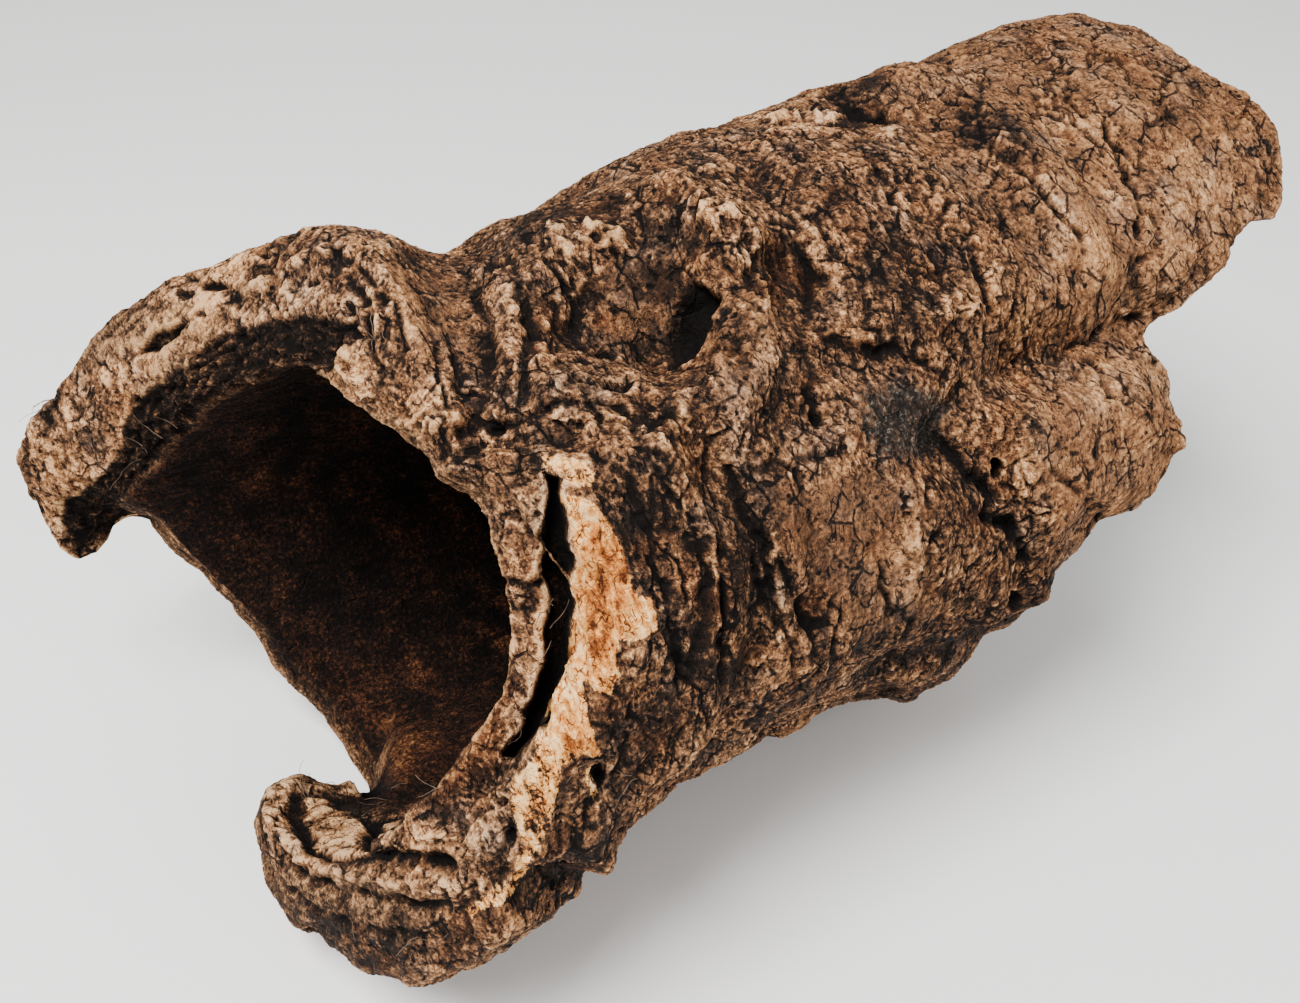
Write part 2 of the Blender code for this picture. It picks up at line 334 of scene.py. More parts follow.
# Growth folds, plates, cracks and flakes, all pushed about by a slow wandering
wander = grown(crumbs, (26, 22, 22), 3.0)
wandered = places + wander[:, None] * np.array((7.0, 5.0, 5.0)) + 1.5 * shake
lumps = grown(crumbs, (19, 19, 19), 2.0)
knobs = grown(crumbs, (8, 8, 8), 8.0)
grit = grown(crumbs, (2.4, 2.4, 2.4), 6.0)
folds = grown(noise.noise, (9, 40, 40), 1.0, wandered)
fine_folds = grown(noise.noise, (4.2, 15, 15), 9.0, wandered)
plates = grown(plate_edge, (12, 17, 17), 5.0, wandered)
small_plates = grown(plate_edge, (6, 8, 8), 7.0, wandered)
breaks = grown(noise.noise, (14, 14, 14), 21.0)
flakes = 3.2 * grown(crumbs, (9, 13, 13), 17.0, wandered)
steps = np.floor(flakes) + ease(0.36, 0.64, flakes - np.floor(flakes)) - flakes

far_tan = ease(120.0, 190.0, stations) * ease(-1.75, -0.85, turns)
plated = ease(95.0, 170.0, stations)
fold_cracks = thin_line(folds, 0.085) * ease(-0.12, 0.12, breaks)
fine_cracks = thin_line(fine_folds, 0.10) * ease(0.12, -0.12, breaks)
plate_cracks = thin_line(plates, 0.05) * ease(-0.25, 0.05, lumps + 0.5 * breaks)
small_cracks = thin_line(small_plates, 0.06) * ease(-0.05, 0.2, breaks - 0.4 * knobs)

relief = 0.8 * lumps + (0.36 - 0.16 * plated) * knobs + 0.2 * grit + 0.5 * steps
relief += (1 - 0.7 * plated) * (0.6 * folds + 0.4 * fine_folds)
relief -= (1.0 - 0.6 * plated) * fold_cracks + (0.6 - 0.2 * plated) * fine_cracks
relief -= (0.25 + 0.75 * plated) * (1.0 * plate_cracks + 0.6 * small_cracks)

# Smoother places that the picture shows: share of the relief lost, blur, outline
CALM = (
    (0.60, 18, ((760, 490), (900, 470), (930, 500), (930, 620), (860, 640), (800, 560))),
    (0.45, 22, ((1050, 130), (1230, 110), (1270, 190), (1170, 300), (1060, 330), (1000, 260))),
    (0.55, 20, ((1030, 380), (1130, 350), (1170, 400), (1150, 490), (1060, 540), (1040, 460))),
    (0.45, 14, ((600, 260), (670, 250), (680, 300), (660, 345), (600, 340))),
    (0.45, 14, ((395, 265), (465, 280), (470, 350), (420, 350))),
    (0.45, 14, ((720, 280), (775, 290), (770, 380), (700, 400))),
)
calm = np.zeros(point_count)
for share, blur, outline in CALM:
    calm = np.maximum(calm, share * patch(outline, blur))
relief *= outside * (1 - calm)
relief -= 0.25 * far_tan * outside * knobs
cracks = outside * (1 - calm) * np.clip(
    (1 - 0.6 * plated) * fold_cracks + 0.7 * fine_cracks
    + (0.3 + 0.7 * plated) * (plate_cracks + 0.7 * small_cracks), 0, 1)

# The lip's layers of growth run round the wall; the inner face is fairly smooth
WALL_RADIUS = 70.0
round_wall = np.column_stack((radii, turns * WALL_RADIUS, stations))
layers = grown(ridges, (2.6, 15, 9), 31.0, round_wall + 1.5 * shake)
fibres = grown(crumbs, (1.8, 5.0, 5.0), 33.0, round_wall)
relief += inside * (0.7 * lumps + 0.6 * knobs + 0.4 * grit)
relief += face * (0.6 * layers + 0.4 * knobs + 0.5 * fibres + 0.3 * steps)

# Cracks and furrows that the picture shows: depth in mm, half width in mm, line
FURROWS = (
    (2.5, 1.3, ((344, 270), (366, 301), (372, 353), (378, 371))),
    (1.6, 1.2, ((395, 300), (402, 345), (396, 370))),
    (1.6, 1.1, ((330, 248), (352, 262), (384, 300), (388, 352))),
    (1.3, 1.3, ((455, 255), (478, 300), (488, 350), (484, 395), (470, 428))),
    (1.2, 1.0, ((500, 240), (520, 290), (528, 340), (520, 395))),
    (1.8, 0.9, ((539, 243), (555, 266), (568, 294), (578, 322), (583, 343))),
    (1.2, 0.8, ((549, 240), (566, 268), (580, 300), (586, 330))),
    (1.8, 1.4, ((462, 432), (500, 425), (560, 402), (605, 402), (650, 424))),
    (2.0, 1.1, ((631, 442), (657, 465), (664, 470), (685, 520))),
    (1.4, 1.6, ((655, 452), (690, 500), (706, 560), (702, 620), (690, 680))),
    (1.2, 1.1, ((548, 440), (590, 450), (626, 480), (648, 530), (668, 600))),
    (3.0, 1.2, ((723, 550), (724, 588), (728, 628), (728, 687))),
    (4.0, 2.0, ((727, 636), (729, 660), (728, 687))),
    (2.6, 1.5, ((668, 582), (676, 628), (682, 679))),
    (2.2, 1.2, ((724, 467), (735, 494), (765, 550), (770, 588), (778, 617))),
    (2.4, 1.2, ((754, 561), (767, 604), (778, 625))),
    (3.2, 2.2, ((786, 571), (800, 600), (808, 620), (816, 628))),
    (1.8, 1.1, ((797, 464), (802, 484), (808, 502))),
    (3.0, 1.4, ((808, 392), (812, 404), (818, 418))),
    (1.8, 1.0, ((920, 464), (931, 475), (931, 504))),
    (2.2, 1.2, ((882, 566), (884, 590), (892, 612))),
    (3.6, 1.5, ((976, 478), (995, 496), (987, 515), (1008, 523), (1022, 550), (1024, 561))),
    (2.0, 1.5, ((936, 436), (960, 462), (976, 480))),
    (1.6, 1.4, ((936, 540), (930, 590), (904, 640), (878, 672))),
    (2.8, 0.7, ((1105, 122), (1115, 149), (1123, 167), (1135, 191), (1141, 212), (1139, 236))),
    (3.0, 0.9, ((1123, 165), (1132, 182), (1138, 196))),
    (1.8, 0.7, ((1114, 140), (1129, 155), (1138, 167))),
    (1.8, 0.7, ((1075, 119), (1087, 134), (1102, 155))),
    (2.2, 0.8, ((1036, 68), (1069, 71), (1067, 92), (1072, 104), (1081, 113))),
    (1.6, 2.8, ((970, 113), (988, 140), (1012, 158))),
    (2.4, 0.9, ((970, 113), (1000, 146), (1036, 182), (1057, 212), (1081, 233), (1085, 248))),
    (1.9, 0.8, ((992, 180), (999, 203), (1006, 227))),
    (1.8, 1.1, ((877, 167), (889, 188), (898, 203))),
    (2.2, 1.2, ((976, 261), (984, 284), (992, 308))),
    (1.8, 1.3, ((934, 256), (940, 270), (944, 284))),
    (1.4, 0.9, ((1060, 278), (1060, 308))),
    (1.5, 1.5, ((1153, 212), (1162, 227), (1153, 254), (1138, 269), (1138, 290))),
    (1.6, 0.8, ((1144, 314), (1120, 320), (1090, 338), (1060, 350), (1048, 356))),
    (1.8, 1.0, ((1091, 359), (1108, 377), (1114, 398))),
    (1.6, 0.9, ((1164, 78), (1170, 93), (1178, 102))),
    (1.6, 0.9, ((1207, 73), (1218, 83), (1227, 89))),
    (1.4, 0.9, ((1197, 85), (1207, 95))),
    (1.5, 0.9, ((1203, 198), (1201, 220), (1200, 239))),
    (1.4, 0.9, ((1146, 125), (1164, 116))),
    (1.4, 1.6, ((790, 240), (806, 262), (812, 300), (800, 330))),
    (2.4, 2.6, ((830, 88), (856, 112), (888, 118))),
    (1.8, 1.5, ((744, 202), (770, 220), (800, 226))),
    (0.9, 1.4, ((700, 470), (740, 480), (790, 462), (850, 452))),
    (1.8, 1.6, ((820, 330), (850, 350), (900, 352), (940, 372))),
    (1.6, 1.4, ((1060, 470), (1088, 500), (1100, 520))),
    (2.8, 1.8, ((295, 794), (301, 823), (314, 849), (336, 860), (362, 856), (388, 856), (418, 862),
                (447, 862))),
    (1.8, 1.2, ((280, 850), (300, 872), (340, 890), (390, 900), (450, 908))),
    (1.6, 1.2, ((272, 868), (310, 906), (366, 930), (420, 936))),
    (1.6, 1.0, ((495, 579), (520, 583), (547, 586))),
)
uneven = 0.85 + 0.9 * knobs
traced_depth = np.zeros(point_count)
traced_crevice_shade = np.zeros(point_count)
for depth, width, points in FURROWS:
    close = nearness(traced(points), width, shaken)
    traced_depth = np.maximum(traced_depth, depth * close)
    # Painted shade along the traced cracks, darker in the deeper ones
    traced_crevice_shade = np.maximum(traced_crevice_shade, depth / 3.0 * close**2)
relief -= traced_depth * uneven

# Ridges, knobs and raised plates that the picture shows: height, half width, line
CRESTS = (
    (2.2, 4.0, ((700, 204), (738, 232), (760, 276), (748, 322))),
    (1.8, 3.2, ((736, 330), (722, 372), (690, 412), (650, 436))),
    (2.2, 2.6, ((556, 232), (585, 224), (618, 240))),
    (0.8, 2.4, ((500, 262), (512, 310), (510, 360), (500, 400))),
    (0.8, 2.0, ((530, 262), (544, 310), (546, 360))),
    (1.8, 3.0, ((905, 480), (918, 540), (912, 600))),
    (1.8, 3.0, ((770, 122), (800, 114), (836, 122))),
    (1.6, 2.0, ((560, 420), (610, 420), (655, 446), (690, 500), (712, 572))),
    (1.6, 3.0, ((1160, 340), (1176, 400), (1178, 450))),
    (2.6, 2.0, ((498, 606), (506, 612))),
    (2.6, 2.4, ((500, 640), (508, 646))),
    (1.8, 1.6, ((519, 592), (524, 596))),
    (1.8, 2.2, ((342, 345), (350, 372), (372, 398), (412, 418), (450, 424))),
    (1.2, 2.2, ((330, 250), (300, 262), (240, 290), (180, 330))),
    (1.6, 1.8, ((330, 808), (362, 832), (402, 838), (452, 828), (500, 796))),
    (1.4, 1.8, ((300, 856), (352, 872), (420, 886), (480, 882), (530, 840))),
    (1.6, 2.6, ((940, 312), (956, 300), (970, 308))),
    (1.0, 1.0, ((231, 393), (271, 368), (326, 368))),
    (2.2, 2.0, ((318, 792), (338, 786), (352, 798))),
    (1.2, 2.2, ((272, 800), (280, 830), (296, 850))),
)
traced_height = np.zeros(point_count)
for height, width, points in CRESTS:
    traced_height = np.maximum(traced_height, height * nearness(traced(points), width, shaken))
relief += traced_height * np.clip(0.75 + 1.8 * knobs + 0.5 * grit, 0.1, 1.6)

# Holes and pockets that the picture shows: depth in mm, blur in pixels, outline.
# Painted shade darkens the ones with a sharp edge.
SHARP_EDGE = 10
PITS = (
    (5.0, 7, ((688, 282), (714, 294), (705, 322), (688, 353), (664, 362), (662, 340), (672, 306))),
    (2.5, 20, ((640, 272), (690, 262), (712, 296), (690, 350), (655, 362), (630, 330))),
    (1.2, 10, ((764, 243), (823, 274), (807, 302), (767, 277))),
    (1.2, 10, ((629, 226), (705, 215), (705, 251), (670, 251), (629, 246))),
    (3.0, 3, oval(496, 430, 11, 6)),
    (2.6, 3, oval(607, 352, 12, 6)),
    (2.6, 3, oval(618, 385, 15, 5)),
    (4.0, 2, oval(997, 470, 6, 11)),
    (3.0, 3, oval(1012, 601, 7, 10)),
    (3.0, 3, oval(600, 775, 10, 11)),
    (1.6, 2, oval(262, 254, 6, 4)),
    (2.4, 3, oval(213, 286, 11, 5)),
    (2.8, 3, ((184, 324), (176, 338), (156, 350), (142, 354), (150, 340), (166, 328))),
    (1.8, 2, oval(185, 292, 8, 4)),
    (1.8, 2, oval(204, 316, 7, 4)),
    (1.8, 2, oval(347, 307, 6, 6)),
    (1.8, 2, oval(311, 280, 7, 4)),
    (3.0, 4, ((362, 822), (381, 819), (381, 845), (366, 849))),
    (1.8, 2, oval(499, 801, 5, 6)),
    (1.8, 2, oval(506, 838, 6, 7)),
    (1.6, 2, oval(521, 853, 5, 5)),
)
pit_shade = np.zeros(point_count)
for depth, blur, outline in PITS:
    hole = patch(outline, blur)
    relief -= depth * hole
    if blur < SHARP_EDGE:
        # Painted shade in the sharp-edged holes, darker in the deeper ones
        pit_shade = np.maximum(pit_shade, min(1.0, depth / 4.0) * hole)

# The torn band of the upper lip: fibrous, sunk between two harder rims, and painted darker as
# painted shade, since it faces down away from the lamp
TORN_BAND = (
    (66, 546), (66, 506), (121, 460), (133, 399), (185, 371), (210, 341), (253, 325),
    (295, 316), (351, 322), (360, 335), (341, 344), (338, 368), (326, 371), (283, 367),
    (231, 393), (210, 408), (173, 442), (121, 500), (112, 521), (90, 558),
)
torn_band = patch(TORN_BAND, 5)
relief -= torn_band * (1.6 - 1.6 * fibres - 0.5 * grit)

# Fresh cork where the near lip was broken: pale, fairly flat, torn along its edges.
# The first number is how whole its skin is.
FRESH_CORK = (
    (0.6, (536, 450), (558, 453), (580, 461), (599, 475), (595, 490), (573, 487), (558, 475),
     (543, 468)),
    (1.0, (558, 490), (580, 498), (599, 505), (610, 527), (621, 549), (632, 579), (636, 594),
     (650, 597), (656, 627), (639, 642), (617, 642), (621, 675), (610, 697), (595, 694),
     (584, 679), (584, 694), (595, 738), (602, 753), (588, 757), (558, 753), (536, 745),
     (554, 708), (565, 675), (575, 627), (573, 583), (575, 546), (569, 520)),
    (0.6, (554, 694), (595, 753), (565, 768), (558, 808), (536, 856), (514, 897), (469, 919),
     (462, 908), (499, 886), (521, 845), (506, 812), (510, 782), (536, 753), (536, 745)),
    (0.54, (576, 766), (590, 766), (601, 790), (600, 816), (590, 800)),
)
fresh = np.zeros(point_count)
for whole, *outline in FRESH_CORK:
    fresh = np.maximum(fresh, whole * patch(outline, 5))
relief = relief * (1 - 0.6 * fresh) + fresh * (0.6 + 0.9 * fibres)

# The gap behind the tongue of the near lip, pushed straight back from the camera
LIP_GAP = (
    (546, 474), (557, 480), (563, 508), (570, 560), (570, 655), (552, 712), (516, 758),
    (504, 753), (524, 722), (546, 662), (548, 600), (542, 555), (548, 512),
)
GAP_DEPTH = 8.0
gap = patch(LIP_GAP, 4)
relief *= (1 - resting) * (1 - 0.7 * gap)
places += normals * relief[:, None] + ways * (GAP_DEPTH * gap)[:, None]
places[:, 2] = np.maximum(places[:, 2], 0.0)
wall_mesh.vertices.foreach_set("co", (places * MM).ravel())
wall_mesh.update()

# How far each point stands above or sinks below its neighbours, over a small and a wide reach; the
# colour is paler on crests and darker in hollows
normals = point_normals()
SMALL_ROUNDS = 10
WIDE_ROUNDS = 120
hollow = ((places - neighbour_mean(places, SMALL_ROUNDS)) * normals).sum(axis=1)
basin = ((places - neighbour_mean(places, WIDE_ROUNDS)) * normals).sum(axis=1)

# Tones that the picture shows, partly the bark's own tone and partly painted light and shade: faces
# turned up to the lamp are painted paler, hollows and lower sides darker. Strength, blur in pixels,
# outline
TONE_AND_LIGHT_PATCHES = (
    (-0.20, 12, ((690, 230), (730, 300), (700, 350), (665, 360), (672, 300), (655, 250))),
    (-0.14, 16, ((650, 262), (690, 262), (700, 350), (655, 362), (645, 320))),
    (-0.12, 12, ((780, 225), (830, 260), (825, 330), (785, 320), (770, 265))),
    (-0.05, 22, ((740, 480), (900, 460), (925, 500), (890, 560), (890, 640), (780, 640))),
    (-0.20, 14, ((700, 204), (738, 232), (770, 276), (758, 340), (720, 392), (650, 440), (640, 420),
                 (700, 370), (735, 310), (700, 240))),
    (-0.30, 6, ((366, 802), (400, 790), (450, 778), (505, 752), (512, 765), (470, 795), (420, 808),
                (380, 816))),
    (-0.26, 10, ((830, 78), (905, 80), (900, 118), (850, 122))),
    (-0.22, 8, ((862, 74), (901, 74), (899, 89), (862, 89))),
    (-0.22, 8, ((919, 53), (946, 53), (946, 65), (919, 65))),
    (-0.20, 8, ((838, 122), (865, 122), (865, 131), (838, 131))),
    (-0.16, 12, ((871, 224), (904, 224), (904, 269), (871, 269))),
    (-0.10, 16, ((470, 245), (600, 190), (640, 215), (560, 232), (540, 330), (560, 400),
                 (500, 420), (520, 330))),
    (-0.25, 8, ((500, 215), (600, 190), (640, 212), (560, 226), (520, 240))),
    (-0.12, 20, ((840, 270), (950, 250), (1000, 330), (940, 370), (860, 350))),
    (-0.18, 16, ((690, 480), (770, 500), (770, 640), (720, 700), (700, 620))),
    (-0.22, 10, ((671, 622), (708, 622), (708, 684), (676, 684))),
    (-0.16, 20, ((590, 440), (700, 470), (720, 560), (740, 690), (660, 780), (600, 720),
                 (650, 640), (620, 520))),
    (-0.10, 10, ((590, 250), (680, 245), (690, 340), (640, 360), (590, 340))),
    (-0.20, 18, ((860, 640), (1050, 560), (1060, 620), (930, 710), (860, 710))),
    (-0.12, 12, ((940, 430), (1000, 470), (1030, 560), (990, 560), (950, 490))),
    (-0.22, 20, ((560, 830), (650, 760), (640, 830), (560, 910), (470, 950), (380, 985),
                 (300, 930), (270, 880), (330, 900), (430, 930), (500, 900))),
    (-0.18, 12, ((940, 100), (1010, 110), (1040, 150), (1000, 165), (950, 140))),
    (-0.20, 9, ((1160, 104), (1200, 112), (1196, 124), (1160, 122))),
    # Painted light on the lip's faces that turn up towards the lamp
    (0.16, 9, ((97, 384), (104, 350), (145, 335), (150, 352), (120, 384))),
    (0.26, 7, ((185, 310), (190, 296), (222, 295), (220, 308))),
    (0.24, 7, ((210, 267), (225, 254), (265, 252), (255, 266))),
    (0.16, 12, ((95, 360), (180, 290), (300, 262), (350, 300), (345, 316), (250, 320),
                (190, 345), (140, 400), (105, 440), (80, 420))),
    (0.16, 10, ((25, 430), (70, 400), (100, 470), (70, 540), (45, 530))),
    (0.22, 7, ((552, 240), (570, 222), (620, 222), (622, 245), (575, 262))),
    (0.20, 7, ((736, 251), (756, 256), (756, 277), (740, 277))),
    (0.22, 8, ((728, 304), (772, 302), (770, 320), (730, 322))),
    (0.14, 8, ((761, 328), (782, 330), (782, 363), (764, 363))),
    (0.22, 8, ((760, 118), (800, 108), (840, 120), (836, 132), (790, 136))),
    # Painted highlight on the plateau's lit corner
    (0.16, 9, ((893, 529), (936, 545), (930, 606), (893, 614))),
    (0.16, 6, ((904, 574), (926, 578), (922, 601), (900, 600))),
    (0.16, 8, ((905, 480), (925, 475), (925, 540), (905, 540))),
    # Painted light on the lit tops of the far end
    (0.12, 14, ((1040, 120), (1100, 110), (1130, 200), (1100, 290), (1050, 260))),
    (0.14, 16, ((1160, 150), (1240, 130), (1250, 220), (1160, 300), (1150, 230))),
    (0.12, 12, ((1016, 427), (1040, 430), (1040, 518), (1020, 510))),
    (0.12, 16, ((1090, 350), (1150, 340), (1175, 400), (1150, 480), (1080, 460))),
    (0.12, 5, ((341, 344), (366, 338), (378, 371), (415, 368), (442, 374), (442, 399),
               (430, 427), (390, 419), (369, 399), (344, 390), (335, 371))),
    (0.30, 4, oval(500, 610, 9, 10)),
    (0.30, 4, oval(505, 645, 11, 12)),
    (0.10, 5, ((310, 856), (347, 867), (380, 882), (447, 897), (491, 893), (521, 871), (536, 838),
               (520, 838), (498, 868), (440, 880), (380, 868), (330, 854))),
    (0.14, 4, ((318, 786), (351, 786), (351, 812), (362, 834), (340, 834), (319, 812))),
    (0.22, 5, ((384, 827), (447, 816), (484, 816), (488, 838), (440, 849), (395, 842))),
    (0.20, 9, ((265, 790), (300, 782), (298, 830), (306, 850), (280, 840))),
    (0.12, 12, ((850, 210), (880, 210), (880, 240), (850, 240))),
    (0.12, 14, ((400, 260), (460, 270), (450, 340), (400, 330))),
    (0.14, 10, ((600, 300), (650, 300), (650, 350), (600, 350))),
    (0.16, 6, oval(956, 306, 20, 12)),
    (0.34, 2, ((877, 134), (892, 122), (899, 126), (889, 135))),
)
tone_and_light = np.zeros(point_count)
for strength, blur, outline in TONE_AND_LIGHT_PATCHES:
    tone_and_light += strength * patch(outline, blur) * np.clip(0.85 + 1.4 * knobs, 0.3, 1.6)
# The torn band is painted darker: painted shade on a face turned down from the lamp
tone_and_light += 0.05 * far_tan - 0.28 * torn_band

# Painted shade in cracks, holes and the lip's gap; mould; red-brown stains and a painted pool of
# light
crevice_shade = np.clip(traced_crevice_shade * uneven + pit_shade + gap + 0.5 * cracks, 0, 1)
MOULD = (
    (858, 392), (878, 384), (905, 380), (930, 388), (949, 408), (942, 440), (918, 462),
    (884, 458), (862, 436),
)
mould = patch(MOULD, 20)
STAIN_AND_LIGHT_PATCHES = (
    (1.0, 7, ((586, 528), (602, 528), (622, 552), (632, 588), (620, 628), (604, 662), (590, 652),
              (582, 600))),
    (0.8, 5, oval(861, 437, 5, 9)),
    (0.6, 6, oval(606, 322, 13, 10)),
    (0.7, 6, ((797, 264), (820, 274), (812, 294), (798, 284))),
    (0.6, 5, oval(1069, 136, 8, 5)),
    (0.6, 5, oval(980, 245, 8, 5)),
    (0.6, 7, oval(1022, 383, 14, 8)),
    # A painted pool of light on the inner face just inside the mouth, where the lamp reaches in
    (0.9, 26, ((330, 700), (400, 640), (500, 640), (510, 740), (440, 800), (370, 790))),
)
stain_and_light = np.zeros(point_count)
for strength, blur, outline in STAIN_AND_LIGHT_PATCHES:
    stain_and_light = np.maximum(stain_and_light, strength * patch(outline, blur))

for name, values in (
        ("hollow", np.clip(0.5 + 0.6 * hollow, 0, 1)),
        ("basin", np.clip(0.5 + 0.1 * basin, 0, 1)),
        ("tone_and_light", tone_and_light),
        ("crevice_shade", crevice_shade),
        ("fresh", fresh),
        ("inner", inside),
        ("torn", np.clip(torn_band + face * 0.7, 0, 1)),
        ("layers", 0.5 + 0.5 * layers * face),
        ("mould", mould),
        ("stain_and_light", stain_and_light),
        ("calm", np.maximum(0.8 * calm, 0.5 * far_tan) * outside)):
    wall_mesh.attributes.new(name, "FLOAT", "POINT").data.foreach_set("value", values)
wall_mesh.attributes.new("smooth_normal", "FLOAT_VECTOR", "POINT").data.foreach_set(
    "vector", normals.ravel())

# Bark wall, finish. Old cork bark, weathered outside: matt, with pale corky crests, brown sides and
# near-black cracks, holes and lip gap, whose black is painted shade; patches of painted light and
# shade lie over its tones. The broken lip shows fresh cork, the torn face is dark and fibrous, with
# painted shade on the upper lip's band, and the inner face is dark red-brown and dusty, with a
# painted pool of light just inside the mouth.


def colour(code):
    """Linear colour from an sRGB hex value."""
    parts = [int(code[k:k + 2], 16) / 255 for k in (1, 3, 5)]
    return [p / 12.92 if p <= 0.04045 else ((p + 0.055) / 1.055) ** 2.4 for p in parts] + [1.0]


def add(tree, kind, inputs=(), out=0, stops=(), **settings):
    """Add a node with its settings, links and colour stops; returns one of its outputs."""
    made = tree.nodes.new(kind)
    for name, value in settings.items():
        setattr(made, name, value)
    for place, value in dict(inputs).items():
        if isinstance(value, bpy.types.NodeSocket):
            tree.links.new(value, made.inputs[place])
        else:
            made.inputs[place].default_value = value
    for index, (position, code) in enumerate(stops):
        if index > 1:
            made.color_ramp.elements.new(position)
        made.color_ramp.elements[index].position = position
        made.color_ramp.elements[index].color = colour(code)
    return made.outputs[out]


weathered_cork = bpy.data.materials.new("weathered_cork")
weathered_cork.use_nodes = True
tree = weathered_cork.node_tree
shader = tree.nodes["Principled BSDF"]
spot = add(tree, "ShaderNodeTexCoord", out="Object")
marks = {
    name: add(tree, "ShaderNodeAttribute", out="Fac", attribute_name=name)
    for name in ("hollow", "basin", "tone_and_light", "crevice_shade", "fresh", "inner", "torn", "layers",
                 "mould", "stain_and_light", "calm")}

# Fibres of growth, 1.7 mm apart, drawn out round the tube
drawn_out = add(tree, "ShaderNodeMapping", {
    "Vector": spot, "Scale": (1 / 1.7, 1 / 5.0, 1 / 5.0)})
fibre_grain = add(tree, "ShaderNodeTexNoise", {
    "Vector": drawn_out, "Scale": 1 / MM, "Detail": 4.0, "Roughness": 0.66, "Distortion": 0.8})
# Crumbs of cork, about 1.1 mm
crumb_grain = add(tree, "ShaderNodeTexNoise", {
    "Vector": spot, "Scale": 1 / (1.1 * MM), "Detail": 3.0, "Roughness": 0.7, "Distortion": 0.7})
# Flecks, about 0.8 mm, in the dark places as well
fleck_grain = add(tree, "ShaderNodeTexNoise", {
    "Vector": spot, "Scale": 1 / (0.8 * MM), "Detail": 2.0, "Roughness": 0.7})
# Wide changes of tone, about 16 mm
broad_grain = add(tree, "ShaderNodeTexNoise", {
    "Vector": spot, "Scale": 1 / (16 * MM), "Detail": 4.0, "Roughness": 0.62})
# Thin dark crazing: strokes along noise 2.2 by 4 mm in grain, that bend and break off
stroke_field = add(tree, "ShaderNodeTexNoise", {
    "Vector": add(tree, "ShaderNodeMapping", {
        "Vector": spot, "Scale": (1 / 2.2, 1 / 4.0, 1 / 4.0)}),
    "Scale": 1 / MM, "Detail": 1.0, "Roughness": 0.5, "Distortion": 1.2})
stroke_gap = add(tree, "ShaderNodeMath", {0: stroke_field, 1: 0.5, 2: 0.028}, operation="COMPARE")
stroke_place = add(tree, "ShaderNodeMapRange", {
    "Value": add(tree, "ShaderNodeTexNoise", {
        "Vector": spot, "Scale": 1 / (3.5 * MM), "Detail": 1.0}),
    "From Min": 0.46, "From Max": 0.54})
strokes = add(tree, "ShaderNodeMath", {0: stroke_gap, 1: stroke_place}, operation="MULTIPLY")
# Edges of small dry plates, 5.5 by 8 mm, broken off here and there
bent_spot = add(tree, "ShaderNodeMix", {
    0: 0.0016, 4: spot, 5: add(tree, "ShaderNodeTexNoise", {
        "Vector": spot, "Scale": 1 / (3 * MM), "Detail": 3.0}, out=1)}, out=1,
    data_type="VECTOR")
plate_rim = add(tree, "ShaderNodeTexVoronoi", {
    "Vector": add(tree, "ShaderNodeMapping", {
        "Vector": bent_spot, "Scale": (1 / 5.5, 1 / 8.0, 1 / 8.0)}),
    "Scale": 1 / MM}, feature="DISTANCE_TO_EDGE")
plate_line = add(tree, "ShaderNodeMapRange", {
    "Value": plate_rim, "From Min": 0.02, "From Max": 0.05, "To Min": 1.0, "To Max": 0.0})
plate_place = add(tree, "ShaderNodeMapRange", {
    "Value": add(tree, "ShaderNodeTexNoise", {
        "Vector": spot, "Scale": 1 / (6 * MM), "Detail": 2.0}),
    "From Min": 0.47, "From Max": 0.55})
plate_lines = add(tree, "ShaderNodeMath", {0: plate_line, 1: plate_place}, operation="MULTIPLY")
# Pores, 0.7 to 1.3 mm across and 3.4 mm apart
pores = add(tree, "ShaderNodeMapRange", {
    "Value": add(tree, "ShaderNodeTexVoronoi", {"Vector": spot, "Scale": 1 / (3.4 * MM)}),
    "From Min": 0.10, "From Max": 0.19, "To Min": 1.0, "To Max": 0.0})

# Outside: paler on crests and darker in hollows, with painted shade in cracks
light = -2.30
for pattern, weight in (
        (fibre_grain, 1.3), (crumb_grain, 1.5), (broad_grain, 0.9), (marks["hollow"], 1.1),
        (marks["basin"], 0.7)):
    light = add(tree, "ShaderNodeMath", {0: pattern, 1: weight, 2: light}, operation="MULTIPLY_ADD")
light = add(tree, "ShaderNodeMix", {0: marks["calm"], 2: light, 3: 0.56}, data_type="FLOAT")
light = add(tree, "ShaderNodeMath", {
    0: marks["tone_and_light"], 1: 1.1, 2: light}, operation="MULTIPLY_ADD")
light = add(tree, "ShaderNodeMath", {0: light, 1: 0.16}, operation="MAXIMUM")
light = add(tree, "ShaderNodeMath", {0: light, 1: 0.26}, operation="SUBTRACT")
# Fine flecks, crazing, plate edges and pores, and painted shade in cracks, holes and the gap
for pattern, weight in (
        (fleck_grain, 0.55), (strokes, -0.3), (plate_lines, -0.4), (pores, -0.36),
        (marks["crevice_shade"], -0.3)):
    light = add(tree, "ShaderNodeMath", {0: pattern, 1: weight, 2: light}, operation="MULTIPLY_ADD")
outer_colour = add(tree, "ShaderNodeValToRGB", {"Fac": light}, stops=(
    (0.0, "#0E0A08"), (0.22, "#281C15"), (0.42, "#543A28"), (0.60, "#81583A"),
    (0.80, "#B08157"), (1.0, "#DFB182")))
